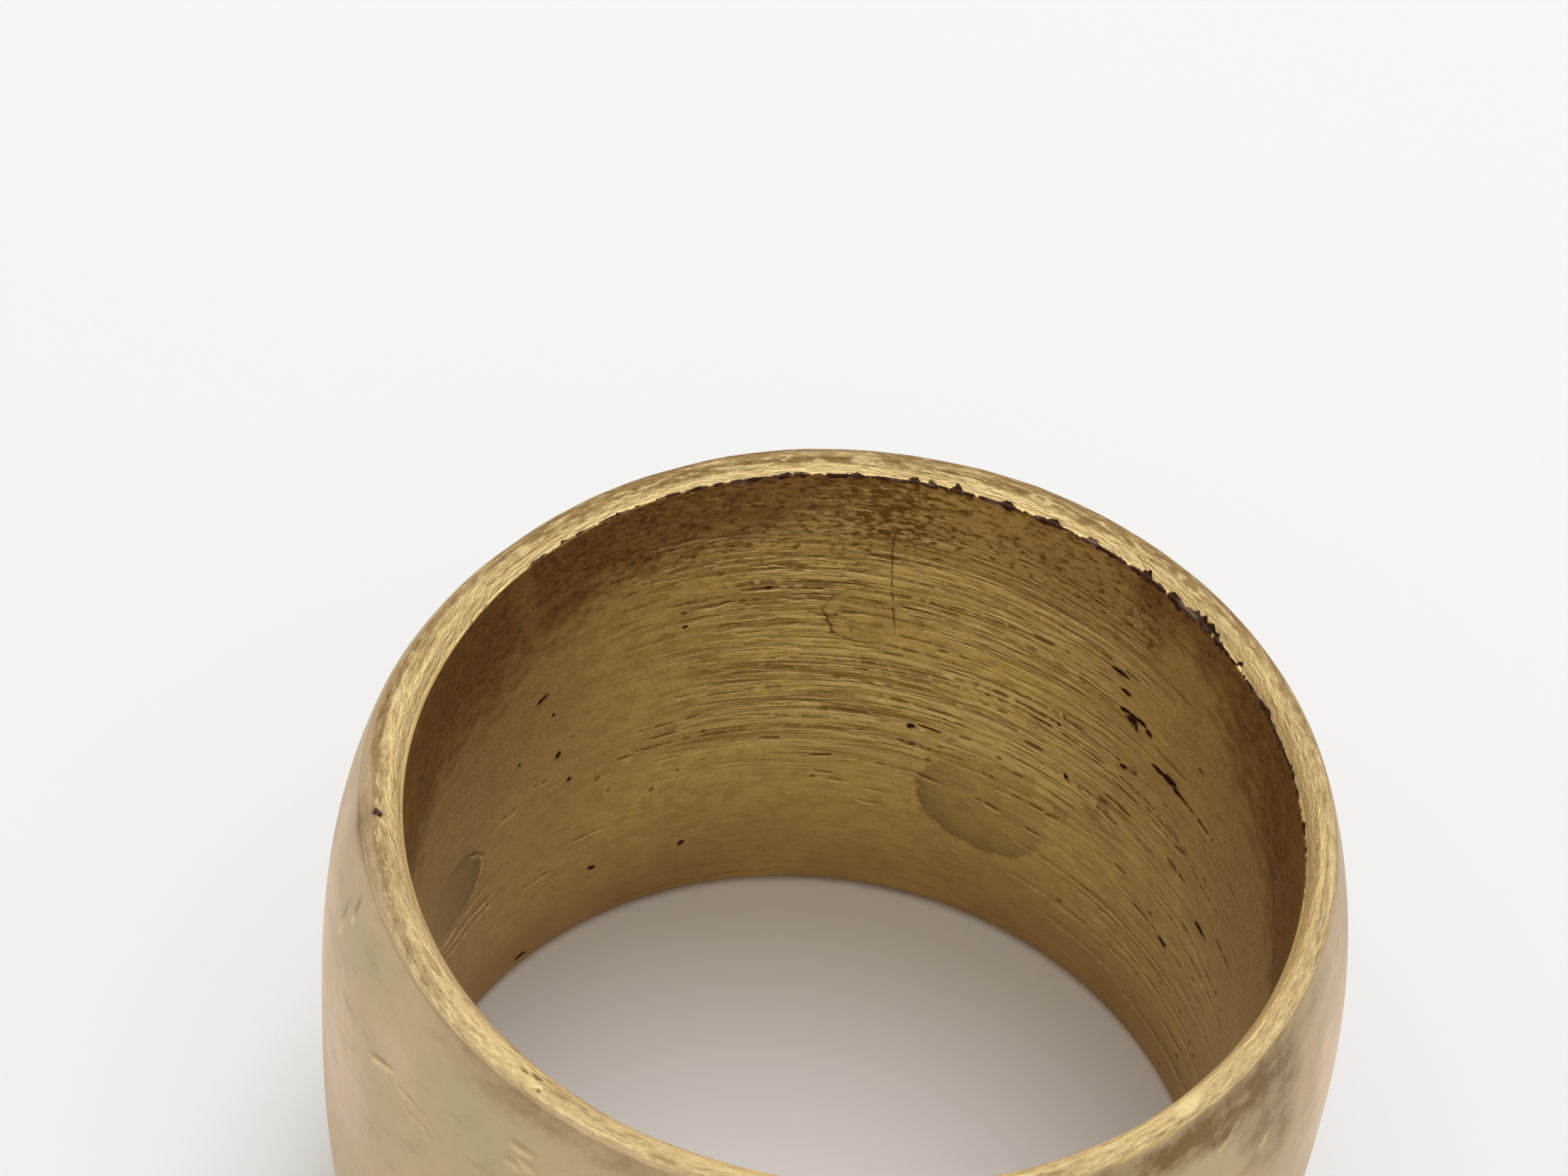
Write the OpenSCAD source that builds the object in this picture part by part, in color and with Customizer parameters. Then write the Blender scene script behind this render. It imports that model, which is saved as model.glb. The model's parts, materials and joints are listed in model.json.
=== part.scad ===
// A plain wide band ring, worn on a finger, lying on its side edge.
// The ring's axis is +Z. The origin is on the axis, in the plane that the lower edge rests on.
// The inside is a straight round bore. The outside swells gently from both edges to the middle.

/* [Finger] */
// Inside diameter, which is the ring's size on a finger
inner_d = 19; // [15:0.1:23]

/* [Band] */
// Height of the band along its axis
band_h = 15.2; // [10:0.1:18]
// Thickest place of the wall, halfway up
wall_t = 1.8; // [1.6:0.05:2.6]
// Thickness of the wall at its two edges, before their corners are rounded
edge_t = 0.88; // [0.86:0.02:1.2]

/* [Edges] */
// Radius of the outer shoulder at both edges
shoulder_r = 0.7; // [0.3:0.05:0.7]
// Radius of the small round on the inner corners, for a comfortable fit
comfort_r = 0.15; // [0.05:0.05:0.2]

/* [Hidden] */
$fn = 160;

inner_r = inner_d / 2;
outer_r = inner_r + wall_t;
mid_z = band_h / 2;

// The crown is the outside's arc from edge to edge, about a point level with the middle of the band
crown_rise = wall_t - edge_t;
crown_r = (pow(mid_z, 2) + pow(crown_rise, 2)) / (2 * crown_rise);
crown_x = outer_r - crown_r;

// The shoulder's arc is tangent to the flat edge and, from inside, to the crown
shoulder_rise = mid_z - shoulder_r;
shoulder_reach = sqrt(pow(crown_r - shoulder_r, 2) - pow(shoulder_rise, 2));
shoulder_x = crown_x + shoulder_reach;
shoulder_lean = atan2(shoulder_rise, shoulder_reach);

// How far the shapes that bound or cut the section reach past the metal
over = 1;

// The wall's section before its corners are rounded, standing on the X axis
module wall_blank() {
    intersection() {
        translate([inner_r, 0])
            square([wall_t + over, band_h]);
        translate([crown_x, mid_z])
            circle(r = crown_r, $fn = 720);
    }
}

// What the upper shoulder's round takes off: the corner outside the arc,
// between the straight up direction and the line to the crown's centre
module shoulder_waste() {
    reach = shoulder_r + over;
    translate([shoulder_x, band_h - shoulder_r])
        difference() {
            polygon([
                [0, 0],
                [reach * cos(shoulder_lean), reach * sin(shoulder_lean)],
                [reach, reach],
                [0, reach],
            ]);
            circle(r = shoulder_r);
        }
}

// What the upper inner corner's round takes off
module comfort_waste() {
    reach = comfort_r + over;
    translate([inner_r + comfort_r, band_h - comfort_r])
        difference() {
            translate([-reach, 0])
                square([reach, reach]);
            circle(r = comfort_r);
        }
}

// Both rounds at the upper edge
module edge_waste() {
    shoulder_waste();
    comfort_waste();
}

// The finished section, the same at its two edges
module wall_section() {
    difference() {
        wall_blank();
        edge_waste();
        translate([0, band_h])
            mirror([0, 1])
                edge_waste();
    }
}

module band() {
    color("goldenrod")
        rotate_extrude()
            wall_section();
}

band();
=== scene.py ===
import json
import math

import bpy
import numpy as np
from mathutils import Matrix, Vector


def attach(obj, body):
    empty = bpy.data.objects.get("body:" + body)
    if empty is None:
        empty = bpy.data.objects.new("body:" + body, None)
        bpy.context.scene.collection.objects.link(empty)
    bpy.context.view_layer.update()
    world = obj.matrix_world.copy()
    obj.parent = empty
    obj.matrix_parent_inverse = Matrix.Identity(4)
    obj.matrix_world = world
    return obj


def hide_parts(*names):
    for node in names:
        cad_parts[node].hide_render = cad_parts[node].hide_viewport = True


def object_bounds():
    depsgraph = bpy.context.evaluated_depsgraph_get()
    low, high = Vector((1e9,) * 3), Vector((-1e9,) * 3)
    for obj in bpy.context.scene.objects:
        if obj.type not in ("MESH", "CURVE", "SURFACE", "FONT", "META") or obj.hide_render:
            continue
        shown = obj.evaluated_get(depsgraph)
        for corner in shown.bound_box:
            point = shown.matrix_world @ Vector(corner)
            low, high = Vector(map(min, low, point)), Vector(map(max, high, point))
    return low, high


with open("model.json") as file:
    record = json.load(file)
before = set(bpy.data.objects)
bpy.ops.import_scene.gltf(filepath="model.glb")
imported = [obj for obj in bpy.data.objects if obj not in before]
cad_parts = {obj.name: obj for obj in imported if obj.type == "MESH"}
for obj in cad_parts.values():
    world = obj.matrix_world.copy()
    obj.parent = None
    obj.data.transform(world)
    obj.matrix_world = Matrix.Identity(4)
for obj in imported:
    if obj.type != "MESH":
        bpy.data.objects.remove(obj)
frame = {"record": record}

# A wide, plain, worn gold ring that lies on its edge on a pale floor.
# Lengths are in millimetres, and heights are measured up from the floor. Angles are in degrees round the
# ring, 0 at +X and 90 at +Y, which is the far side from the camera. Blender itself gets metres.
MM = 0.001

cad_low, cad_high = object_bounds()
mounts = {m["name"]: m for m in frame["record"]["mounts"]}
BAND_H = (cad_high.z - cad_low.z) / MM
BORE_R = mounts["finger_bore"]["dims"]["r_mm"]

# How far the outside lies within the solid, so that its shifted and worn surface stays in the solid's box
OUTSIDE_INSET = 0.11
# Its radius halfway up, how late it turns in, and how far in it comes at the edges by angle
OUTSIDE_R = cad_high.x / MM - OUTSIDE_INSET
OUTSIDE_POWER = 2.85
OUTSIDE_DROP = [
    (-90, 0.99), (0, 1.03), (30, 1.01), (55, 0.99), (70, 1), (85, 1.06), (105, 1.09), (120, 1.15),
    (142, 1.2), (157, 1.12), (168, 1), (182, 0.94), (195, 0.94), (210, 0.97), (230, 0.99), (270, 0.99),
]
# The bore isn't quite in the middle of the outside: the wall is thicker on the -X side
OFF_CENTRE_X = -0.1
# How the rim turns over: its climb in degrees, by the distance in millimetres from the bore's end
RIM_CLIMB = [
    (0, 45), (0.05, 30), (0.25, 18), (0.4, 10), (0.55, 4), (0.65, 0), (0.76, -8), (0.88, -22), (1.02, -46),
    (1.1, -66),
]
RIM_SAMPLES = 111
# Half the width over which the section's corners are rounded, and in how many samples
ROUNDING = 0.03
ROUNDING_SAMPLES = 5
# How far along the section its direction is taken
DIRECTION_STEP = 0.01
# Height at which the bore ends and the upper rim begins, by angle
BORE_END = [
    (-90, 14.7), (-30, 14.6), (0, 14.55), (20, 14.62), (35, 14.76), (50, 14.84), (70, 14.88), (100, 14.93),
    (125, 14.93), (145, 14.86), (165, 14.72), (200, 14.7), (270, 14.7),
]

# Camera, from the rim, the lower inner edge and the outline in the photograph
PHOTO_W = 2212
PHOTO_H = 1659
FOCAL_PX = 5500
CAMERA_TILT = 47.32
CAMERA_ROLL = 6.08
RIM_CENTRE_PX = (1211.7, 1116.8)
RIM_DISTANCE = 81.73
SENSOR_W = 36


def add(name, data):
    """A new object in the scene."""
    thing = bpy.data.objects.new(name, data)
    bpy.context.scene.collection.objects.link(thing)
    return thing


def make_camera():
    tilt = math.radians(CAMERA_TILT)
    roll = math.radians(CAMERA_ROLL)
    ahead = Vector((0, math.cos(tilt), -math.sin(tilt)))
    level = Vector((1, 0, 0))
    above = level.cross(ahead)
    right = math.cos(roll) * level + math.sin(roll) * above
    up = math.cos(roll) * above - math.sin(roll) * level
    # The ray through the pixel where the middle of the upper rim shows
    aside = (RIM_CENTRE_PX[0] - PHOTO_W / 2) / FOCAL_PX
    down = (RIM_CENTRE_PX[1] - PHOTO_H / 2) / FOCAL_PX
    ray = (ahead + aside * right - down * up).normalized()
    place = Vector((0, 0, BAND_H)) - RIM_DISTANCE * ray
    data = bpy.data.cameras.new("camera")
    data.sensor_width = SENSOR_W
    data.lens = SENSOR_W * FOCAL_PX / PHOTO_W
    data.clip_start = 0.001
    data.clip_end = 10
    camera = add("camera", data)
    turn = Matrix((right, up, -ahead)).transposed().to_4x4()
    camera.matrix_world = Matrix.Translation(place * MM) @ turn
    bpy.context.scene.camera = camera


# The surface is one closed net of square cells. Its columns go round the ring from angle -90, and its rows
# go once round the section: up the bore, over the rim, down the outside and back over the lower rim.
# Coarse cells are split where the surface or its wear changes within them, down to the finest ones.
COLUMNS = 1536
COARSE = 8
# Each leg of the section: its name, its rows, and its length in millimetres
LEGS = [
    ("bore", 384, 14.6),
    ("rim", 32, RIM_CLIMB[-1][0]),
    ("outside", 384, 15.2),
    ("low rim", 32, RIM_CLIMB[-1][0]),
]
# Height at which the bore begins, above the lower rim
LOW_BORE_END = 0.3
ROWS = sum(rows for _, rows, _ in LEGS)
ROW_AT = np.cumsum([0] + [rows for _, rows, _ in LEGS])
LEG_AT = np.cumsum([0] + [length for _, _, length in LEGS])
FOOT, CORNER, LOW_CORNER, AROUND = LEG_AT[1:]

angle = (np.arange(COLUMNS) * 360 / COLUMNS - 90)[:, None]
along = np.interp(np.arange(ROWS), ROW_AT, LEG_AT)[None, :]


def at_columns(table):
    """A table's values at the angle of each column."""
    return np.interp(angle, *zip(*table))


bore_end = at_columns(BORE_END)
outside_drop = at_columns(OUTSIDE_DROP)


def outside_radius(height):
    share = np.abs(height / BAND_H * 2 - 1)
    return OUTSIDE_R - outside_drop * share ** OUTSIDE_POWER


def climb_rim():
    """Distances across the rim, with how far out, as a share, and how far up the surface has come there."""
    steps = np.linspace(0, RIM_CLIMB[-1][0], RIM_SAMPLES)
    climb = np.radians(np.interp(steps, *zip(*RIM_CLIMB)))
    out = np.cumsum(np.cos(climb)) * steps[1]
    up = np.cumsum(np.sin(climb)) * steps[1]
    return steps, (out - out[0]) / (out[-1] - out[0]), up - up[0]


RIM_STEPS, RIM_OUT, RIM_UP = climb_rim()
RIM_TOP = RIM_UP.max()
RIM_FALL = RIM_TOP - RIM_UP[-1]


def rim_place(where, foot):
    """Radius, height and shift along X at distances across the upper rim, which begins at a height foot."""
    out = np.interp(where, RIM_STEPS, RIM_OUT)
    up = np.interp(where, RIM_STEPS, RIM_UP)
    past_top = where > RIM_STEPS[RIM_UP.argmax()]
    height = np.where(past_top, BAND_H - RIM_TOP + up, foot + (BAND_H - foot) * up / RIM_TOP)
    corner_r = outside_radius(BAND_H - RIM_FALL)
    return BORE_R + (corner_r - BORE_R) * out, height, OFF_CENTRE_X * out


def section(where):
    """Radius, height and shift along X of the section, at distances along it."""
    where = where % AROUND + 0 * bore_end
    bore = (BORE_R, LOW_BORE_END + (bore_end - LOW_BORE_END) * where / FOOT, 0)
    rim = rim_place(where - FOOT, bore_end)
    share = (where - CORNER) / (LOW_CORNER - CORNER)
    drop = BAND_H - RIM_FALL - (BAND_H - 2 * RIM_FALL) * share
    side = (outside_radius(drop), drop, OFF_CENTRE_X)
    low = rim_place(AROUND - where, BAND_H - LOW_BORE_END)
    low = (low[0], BAND_H - low[1], low[2])
    places = [where < FOOT, where < CORNER, where < LOW_CORNER]
    return [np.select(places, [bore[i], rim[i], side[i]], low[i]) for i in range(3)]


def rounded(where):
    """The section with rounded corners: its mean over a short stretch."""
    steps = np.linspace(-ROUNDING, ROUNDING, ROUNDING_SAMPLES)
    parts = [section(where + step) for step in steps]
    return [sum(part[i] for part in parts) / len(steps) for i in range(3)]


radius, height, shift = rounded(along)
ahead_r, ahead_h, _ = rounded(along + DIRECTION_STEP)
lean = np.arctan2(ahead_h - height, ahead_r - radius)
# The direction straight out of the metal, as its parts away from the axis and up
out_r = -np.sin(lean)
out_h = np.cos(lean)


def smooth(low, high, x):
    """0 up to low and 1 from high on, with an even curve between; low may be the larger one."""
    t = np.clip((x - low) / (high - low), 0, 1)
    return t * t * (3 - 2 * t)


def turned_from(at_angle):
    """Degrees round the ring from an angle to each column, from -180 to 180."""
    return (angle - at_angle + 180) % 360 - 180


# Cells of random waves along the section before they repeat, and how strong each finer layer of them is
GRAIN_ROWS = 64
GRAIN_FADE = 0.6


def grain(seed, long, high, layers=1):
    """Random waves from -1 to 1, about long by high millimetres, that meet themselves round the ring."""
    total = 0
    for layer in range(layers):
        cells = max(3, round(2 * math.pi * BORE_R / long * 2 ** layer))
        table = np.random.default_rng(seed + layer).uniform(-1, 1, (cells, GRAIN_ROWS))
        x = (angle + 90) / 360 * cells
        y = along / high * 2 ** layer
        column = np.floor(x).astype(int)
        row = np.floor(y).astype(int)
        sideways = smooth(0, 1, x - column)
        upward = smooth(0, 1, y - row)
        value = 0
        for i in (0, 1):
            for j in (0, 1):
                corner = table[(column + i) % cells, (row + j) % GRAIN_ROWS]
                value += corner * (sideways if i else 1 - sideways) * (upward if j else 1 - upward)
        total += value * GRAIN_FADE ** layer
    return total


on_bore = along < FOOT
on_rim = (along > FOOT) & (along < CORNER)

# What wear does to the surface, and where light and shade are painted on it, over the whole net. relief is
# in millimetres, and the rest from 0 to 1, but the rim's painted shading goes down to -1 where the rim gets
# painted shade
blank = np.zeros((COLUMNS, ROWS))
relief, black, tarnish, stain, edge, hatch, crinkle, pale, outside = (blank.copy() for _ in range(9))
green, brown, groove, film, speckle, painted_highlight, far, across, painted_rim_shading = (blank.copy() for _ in range(9))


def raise_to(layer, amount, area=...):
    """Lifts a layer to an amount where it is lower, over the whole net or an area of it."""
    layer[area] = np.maximum(layer[area], amount)


def patch(place, size):
    """The columns and rows of the bore round a place, and how far each of their points lies from it."""
    at_angle, at_height = place
    reach = math.degrees(size / BORE_R)
    first = int((at_angle - reach + 90) / 360 * COLUMNS)
    last = int((at_angle + reach + 90) / 360 * COLUMNS) + 2
    near = np.nonzero(np.abs(height[(first + last) // 2, : ROW_AT[1]] - at_height) < size)[0]
    rows = slice(near[0], near[-1] + 2)
    columns = slice(max(0, first), last)
    right = -np.radians(angle[columns] - at_angle) * BORE_R
    return (columns, rows), right + 0 * height[columns, rows], height[columns, rows] - at_height


# Soft, irregular deviations used to fray the outlines of pits and stains
fray = grain(11, 0.16, 0.14, 2)
coarse_fray = grain(21, 0.7, 0.6, 2)


# Pits and scratches that cross go no deeper than this
DEEPEST = -0.03
# How far a pit sinks and how far its lip rises, as shares of the pit's depth
PIT_SINK = 0.4
PIT_LIP = 0.1


def pit(at_angle, at_height, long, high, depth, slant=0.0, ink=1.0):
    """One pit in the bore, long by high, with a raised lip below it."""
    area, right, up = patch((at_angle, at_height), max(long, high) * 0.5 + 0.35)
    up = up - slant * right
    away = np.sqrt((right / long * 2) ** 2 + (up / high * 2) ** 2) + 0.3 * fray[area]
    inside = smooth(1.3, 0.7, away)
    lip = smooth(2.2, 1.5, away) * (1 - inside) * smooth(0.1, -0.5, up / high * 2)
    relief[area] = np.maximum(relief[area] - PIT_SINK * depth * inside, DEEPEST) + PIT_LIP * depth * lip
    raise_to(groove, ink * inside, area)


PITS = [
    # angle, height, length, width, depth, slant
    (139.7, 9.93, 0.34, 0.12, 0.06, 0.35), (137.5, 9.1, 0.1, 0.11, 0.03, 0),
    (144, 8.15, 0.12, 0.1, 0.03, 0), (136.3, 7.5, 0.15, 0.17, 0.07, 0.3),
    (134.1, 6.35, 0.13, 0.14, 0.05, 0), (129.2, 2.37, 0.2, 0.15, 0.06, -0.3),
    (114.2, 2.1, 0.17, 0.14, 0.06, 0.3), (142.3, 0.6, 0.38, 0.13, 0.05, -0.1),
    (116.2, 10.27, 0.2, 0.1, 0.05, 0), (104.5, 11.17, 0.16, 0.11, 0.04, 0),
    (50.3, 10.41, 0.26, 0.1, 0.07, 0.1), (48.6, 10.42, 0.46, 0.12, 0.1, 0),
    (48.5, 10.29, 0.34, 0.26, 0.1, -0.2), (46.7, 10.42, 0.3, 0.12, 0.08, -0.2),
    (45.4, 10.3, 0.26, 0.16, 0.08, -0.2), (47.4, 10.12, 0.09, 0.12, 0.04, -1),
    (42, 9.46, 0.62, 0.12, 0.08, -0.02), (39.9, 9.46, 0.5, 0.22, 0.08, 0.05),
    (37.8, 9.36, 0.5, 0.11, 0.06, -0.05), (51.6, 11.46, 0.48, 0.12, 0.06, -0.05),
    (50.3, 11, 0.3, 0.12, 0.05, -0.05), (48.3, 8.62, 0.18, 0.11, 0.05, 0.3),
    (81.6, 6.6, 0.2, 0.14, 0.05, 0.1), (59.8, 8.6, 0.14, 0.09, 0.03, 0), (57.2, 7, 0.1, 0.17, 0.04, -0.2),
    (27, 6.38, 0.62, 0.14, 0.05, 0), (34.2, 4.42, 0.34, 0.11, 0.04, -0.1),
]
for row in PITS:
    pit(*row)

# Fainter specks in the bore
SPECKS = [
    # angle, height, length, width
    (126.9, 5.15, 0.12, 0.12), (129, 5.8, 0.14, 0.14), (115.7, 5.02, 0.12, 0.1), (119.7, 4.55, 0.14, 0.14),
    (112.2, 6.3, 0.14, 0.13), (92, 9.7, 0.12, 0.1), (94.4, 10.2, 0.09, 0.09), (95.2, 10.15, 0.09, 0.09),
    (116.5, 10.77, 0.16, 0.11), (68, 6.45, 0.18, 0.1), (73.4, 6.7, 0.34, 0.09), (78.4, 5.5, 0.16, 0.12),
    (76.8, 6.1, 0.12, 0.09), (95, 4.25, 0.14, 0.1), (50.5, 7.06, 0.32, 0.1), (46.2, 8.7, 0.14, 0.1),
    (51, 6.68, 0.14, 0.09), (58.8, 5.33, 0.22, 0.09), (37.8, 4.87, 0.14, 0.12), (29.5, 4.5, 0.16, 0.1),
    (25.7, 4.7, 0.14, 0.11), (33.5, 5.5, 0.18, 0.1), (19.2, 5.6, 0.14, 0.14), (16.5, 5.5, 0.12, 0.12),
    (26.7, 3.2, 0.14, 0.12), (22.7, 2.8, 0.14, 0.14), (20.8, 2.7, 0.12, 0.12), (32.5, 3.12, 0.14, 0.12),
    (54.3, 2.6, 0.14, 0.12), (25, 1.75, 0.14, 0.12), (28.5, 0.65, 0.14, 0.12), (34.5, 10.77, 0.18, 0.12),
]
for row in SPECKS:
    pit(*row, depth=0.03, ink=0.5)


def scratch(points, width, depth, ink, lip_highlight=0.8):
    """A scratch in the bore through points of angle and height, darkened inside, with a raised lip below it
    that gets a painted highlight.
    """
    for (angle_a, height_a), (angle_b, height_b) in zip(points, points[1:]):
        middle = ((angle_a + angle_b) / 2, (height_a + height_b) / 2)
        run = -math.radians(angle_b - angle_a) * BORE_R
        rise = height_b - height_a
        length = math.hypot(run, rise)
        area, right, up = patch(middle, length / 2 + 0.4)
        share = (right * run + up * rise) / length ** 2
        past = np.maximum(np.abs(share) - 0.5, 0) * length
        off = (up * run - right * rise) / length + 0.15 * width * coarse_fray[area]
        taper = smooth(0.55, 0.25, np.abs(share)) * 0.6 + 0.4
        away = np.hypot(off, past) / (width / 2 * taper)
        broken = smooth(-0.9, 0.1, fray[area] + 0.4 * coarse_fray[area])
        inside = smooth(1.6, 0.5, away) * broken
        lip = smooth(1.2, 0, np.abs(away - 2)) * smooth(0, -0.5, off / width) * broken
        relief[area] = np.maximum(relief[area] - depth * inside, DEEPEST) + 0.4 * depth * lip
        # Darkening inside the scratch, mostly painted shade in its hollow, and a painted highlight on its
        # lip
        raise_to(groove, ink * inside, area)
        raise_to(painted_highlight, lip_highlight * lip, area)


SCRATCHES = [
    # width, darkness, then points of angle and height
    (0.09, 0.6, [(38.5, 9.4), (35, 9.33), (29, 9.27)]), (0.08, 0.5, [(109, 11.42), (101, 11.4)]),
    (0.08, 0.6, [(109, 11.2), (102, 11.14), (95, 11.05)]), (0.07, 0.5, [(88, 9.06), (84, 9.03)]),
    (0.07, 0.4, [(77, 9.05), (66, 8.97), (60, 8.93)]), (0.09, 0.6, [(74, 8.72), (66, 8.66), (60, 8.6)]),
    (0.08, 0.6, [(73, 8.5), (66, 8.44), (60, 8.38)]), (0.08, 0.5, [(91, 8.63), (84, 8.6), (76, 8.55)]),
    (0.08, 0.6, [(91, 8.38), (86, 8.32)]), (0.07, 0.4, [(101, 8.3), (94, 8.22)]),
    (0.08, 0.5, [(96, 8), (90, 7.93), (84, 7.85)]), (0.07, 0.4, [(74, 8.2), (66, 8.1), (60, 8)]),
    (0.08, 0.5, [(105.5, 7.65), (101, 7.62)]), (0.09, 0.6, [(64.5, 7.43), (61.5, 7.41)]),
    (0.07, 0.4, [(78, 7.15), (72.3, 7.1)]), (0.07, 0.5, [(62, 7), (57.5, 6.95)]),
    (0.07, 0.4, [(100, 6.86), (92, 6.84)]), (0.07, 0.4, [(108, 6.7), (101, 6.58)]),
    (0.07, 0.4, [(87, 6.6), (80, 6.54), (74, 6.45)]), (0.09, 0.7, [(80.6, 6.72), (77, 6.6)]),
    (0.07, 0.4, [(91.5, 6.15), (88, 6.15)]), (0.07, 0.3, [(92.5, 5.98), (84, 5.88)]),
    (0.11, 0.6, [(83.2, 6), (78, 5.9)]), (0.09, 0.5, [(67.5, 6.19), (61, 6.13)]),
    (0.08, 0.5, [(70.5, 5.7), (68, 5.67)]), (0.08, 0.6, [(103.5, 5.75), (100, 5.72)]),
    (0.07, 0.3, [(100, 5.72), (94, 5.66)]), (0.08, 0.6, [(95.8, 5.07), (92.5, 5.12)]),
    (0.07, 0.4, [(89, 5.05), (84, 4.98), (80, 4.93)]), (0.08, 0.5, [(80, 4.93), (76, 4.78)]),
    (0.08, 0.5, [(68, 5.33), (63, 5.37), (55, 5.38)]), (0.08, 0.4, [(95, 4.48), (92, 4.42)]),
    (0.07, 0.4, [(95, 4.25), (89.5, 4.14)]), (0.07, 0.3, [(88, 4), (84, 3.97)]),
    (0.07, 0.3, [(88, 3.5), (84, 3.47)]), (0.09, 0.5, [(70.5, 4.68), (66, 4.6)]),
    (0.08, 0.5, [(62.3, 4.43), (59.5, 4.45)]), (0.07, 0.5, [(68.3, 10.7), (65, 10.67)]),
    (0.08, 0.5, [(67, 11.13), (60, 11.08)]), (0.08, 0.5, [(80, 10.86), (74, 10.82)]),
    (0.08, 0.5, [(80, 9.52), (75, 9.47)]), (0.07, 0.4, [(86, 9.74), (77, 9.62)]),
    (0.08, 0.4, [(55.5, 11.54), (52.5, 11.49)]), (0.07, 0.3, [(56.3, 11.06), (51, 11.01)]),
    (0.08, 0.3, [(44, 10.06), (37, 9.99)]), (0.07, 0.6, [(59.4, 9.02), (59.1, 8.87), (56, 8.85)]),
    (0.09, 0.6, [(51.6, 8.78), (49, 8.71)]), (0.08, 0.5, [(60, 8.37), (55.5, 8.29), (51.5, 8.25)]),
    (0.09, 0.5, [(49.5, 8.26), (45.5, 8.2), (40, 8.13)]), (0.08, 0.4, [(39, 8.1), (35.5, 8.07)]),
    (0.08, 0.5, [(49.8, 7.94), (44, 7.85)]), (0.1, 0.5, [(36.3, 7.77), (33.8, 7.85)]),
    (0.08, 0.3, [(30.5, 7.91), (25.5, 7.87)]), (0.08, 0.3, [(42.5, 7.8), (37.5, 7.76)]),
    (0.09, 0.6, [(50.6, 7.31), (45.2, 7.23)]), (0.11, 0.5, [(38.2, 7.14), (32.3, 7.03)]),
    (0.1, 0.6, [(58, 6.92), (52, 6.83)]), (0.08, 0.5, [(51, 6.7), (46.5, 6.6)]),
    (0.08, 0.3, [(49, 6.36), (46, 6.28)]), (0.08, 0.4, [(60, 6.11), (54.5, 6.07)]),
    (0.09, 0.4, [(46.5, 5.33), (43.8, 5.3)]), (0.1, 0.4, [(31.5, 5.78), (28.5, 5.75)]),
    (0.09, 0.5, [(41.5, 4.6), (38.5, 4.58), (36, 4.5)]), (0.08, 0.6, [(120.5, 6.52), (116, 6.51)]),
    (0.08, 0.5, [(122.5, 6.93), (117, 6.87), (112.5, 6.92)]), (0.08, 0.5, [(126.8, 6.18), (123.2, 6.15)]),
    (0.08, 0.4, [(119.5, 5.62), (115, 5.6)]), (0.07, 0.4, [(133.5, 3.83), (130, 3.8), (127, 3.74)]),
    (0.07, 0.3, [(123.5, 3.7), (119.8, 3.68)]), (0.08, 0.4, [(141, 6.92), (138, 6.83)]),
    (0.08, 0.3, [(142.5, 3.25), (136.5, 3.18)]),
]
# A scratch's depth as a share of its width
SCRATCH_DEPTH = 0.25
for width, ink, points in SCRATCHES:
    scratch(points, width, SCRATCH_DEPTH * width, ink)

# Dark streaks low down on the far side
scratch([(125, 0.55), (115, 0.52), (100, 0.55)], 0.12, 0.01, 0.25, 0)
scratch([(118, 1.02), (104, 0.98)], 0.1, 0.01, 0.2, 0)
scratch([(78, 0.75), (62, 0.7)], 0.12, 0.01, 0.2, 0)

# The one scratch that runs down the far side, fine and dotted, and light ones, most of them on the left,
# which are mostly a painted highlight on their lips
scratch([(87.5, 13.3), (87.6, 12.6), (87.2, 11.6), (86.6, 10.8), (85.6, 9.6)], 0.045, 0.015, 0.6, 0.3)
HIGHLIGHTED_SCRATCHES = [
    [(163, 4.62), (157, 4.62), (151, 4.72)], [(162, 4.22), (155, 4.2), (148.5, 4.2)],
    [(161, 3.88), (154, 3.85), (149, 3.9)], [(150.8, 5.75), (151.3, 5.45), (153, 5.05)],
    [(155, 6.6), (152.5, 6.3), (151.2, 6)], [(148, 6.64), (143.5, 6.62)], [(119.6, 6.65), (116, 6.62)],
    [(117, 7.78), (112, 7.74)],
]
for points in HIGHLIGHTED_SCRATCHES:
    scratch(points, 0.1, 0.012, 0.35, 1.0)


# Fine turning grooves, which run almost level round the bore, thickest in its upper right part: how many,
# and how far they rise for each millimetre of run
GROOVES = 110
GROOVE_SEED = 5
GROOVE_LEAN = 0.045


def groove_share(at_angle, at_height):
    """How thick the grooves lie at a place in the bore, from 0 to 1."""
    wide = smooth(38, 52, at_angle) * smooth(126, 102, at_angle)
    high = smooth(3.8, 6.6, at_height) * smooth(14.2, 13.0, at_height)
    right_side = smooth(12, 24, at_angle) * smooth(60, 45, at_angle) * smooth(10.5, 8.5, at_height)
    return np.maximum(wide * high, 0.6 * right_side)


def cut_grooves():
    rng = np.random.default_rng(GROOVE_SEED)
    made = 0
    while made < GROOVES:
        at_angle = rng.uniform(16, 130)
        at_height = rng.uniform(1.2, 13.8)
        chance = rng.uniform()
        length = rng.uniform(1.0, 4.5)
        slope = rng.normal(GROOVE_LEAN, 0.02)
        width = rng.uniform(0.06, 0.09)
        depth = rng.uniform(0.012, 0.022)
        if chance > groove_share(at_angle, at_height):
            continue
        half = math.degrees(length / 2 / BORE_R)
        fall = length * slope / 2
        ends = [(at_angle + half, at_height + fall), (at_angle - half, at_height - fall)]
        scratch(ends, width, depth, rng.uniform(0.15, 0.45), 0.5)
        made += 1


cut_grooves()

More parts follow.
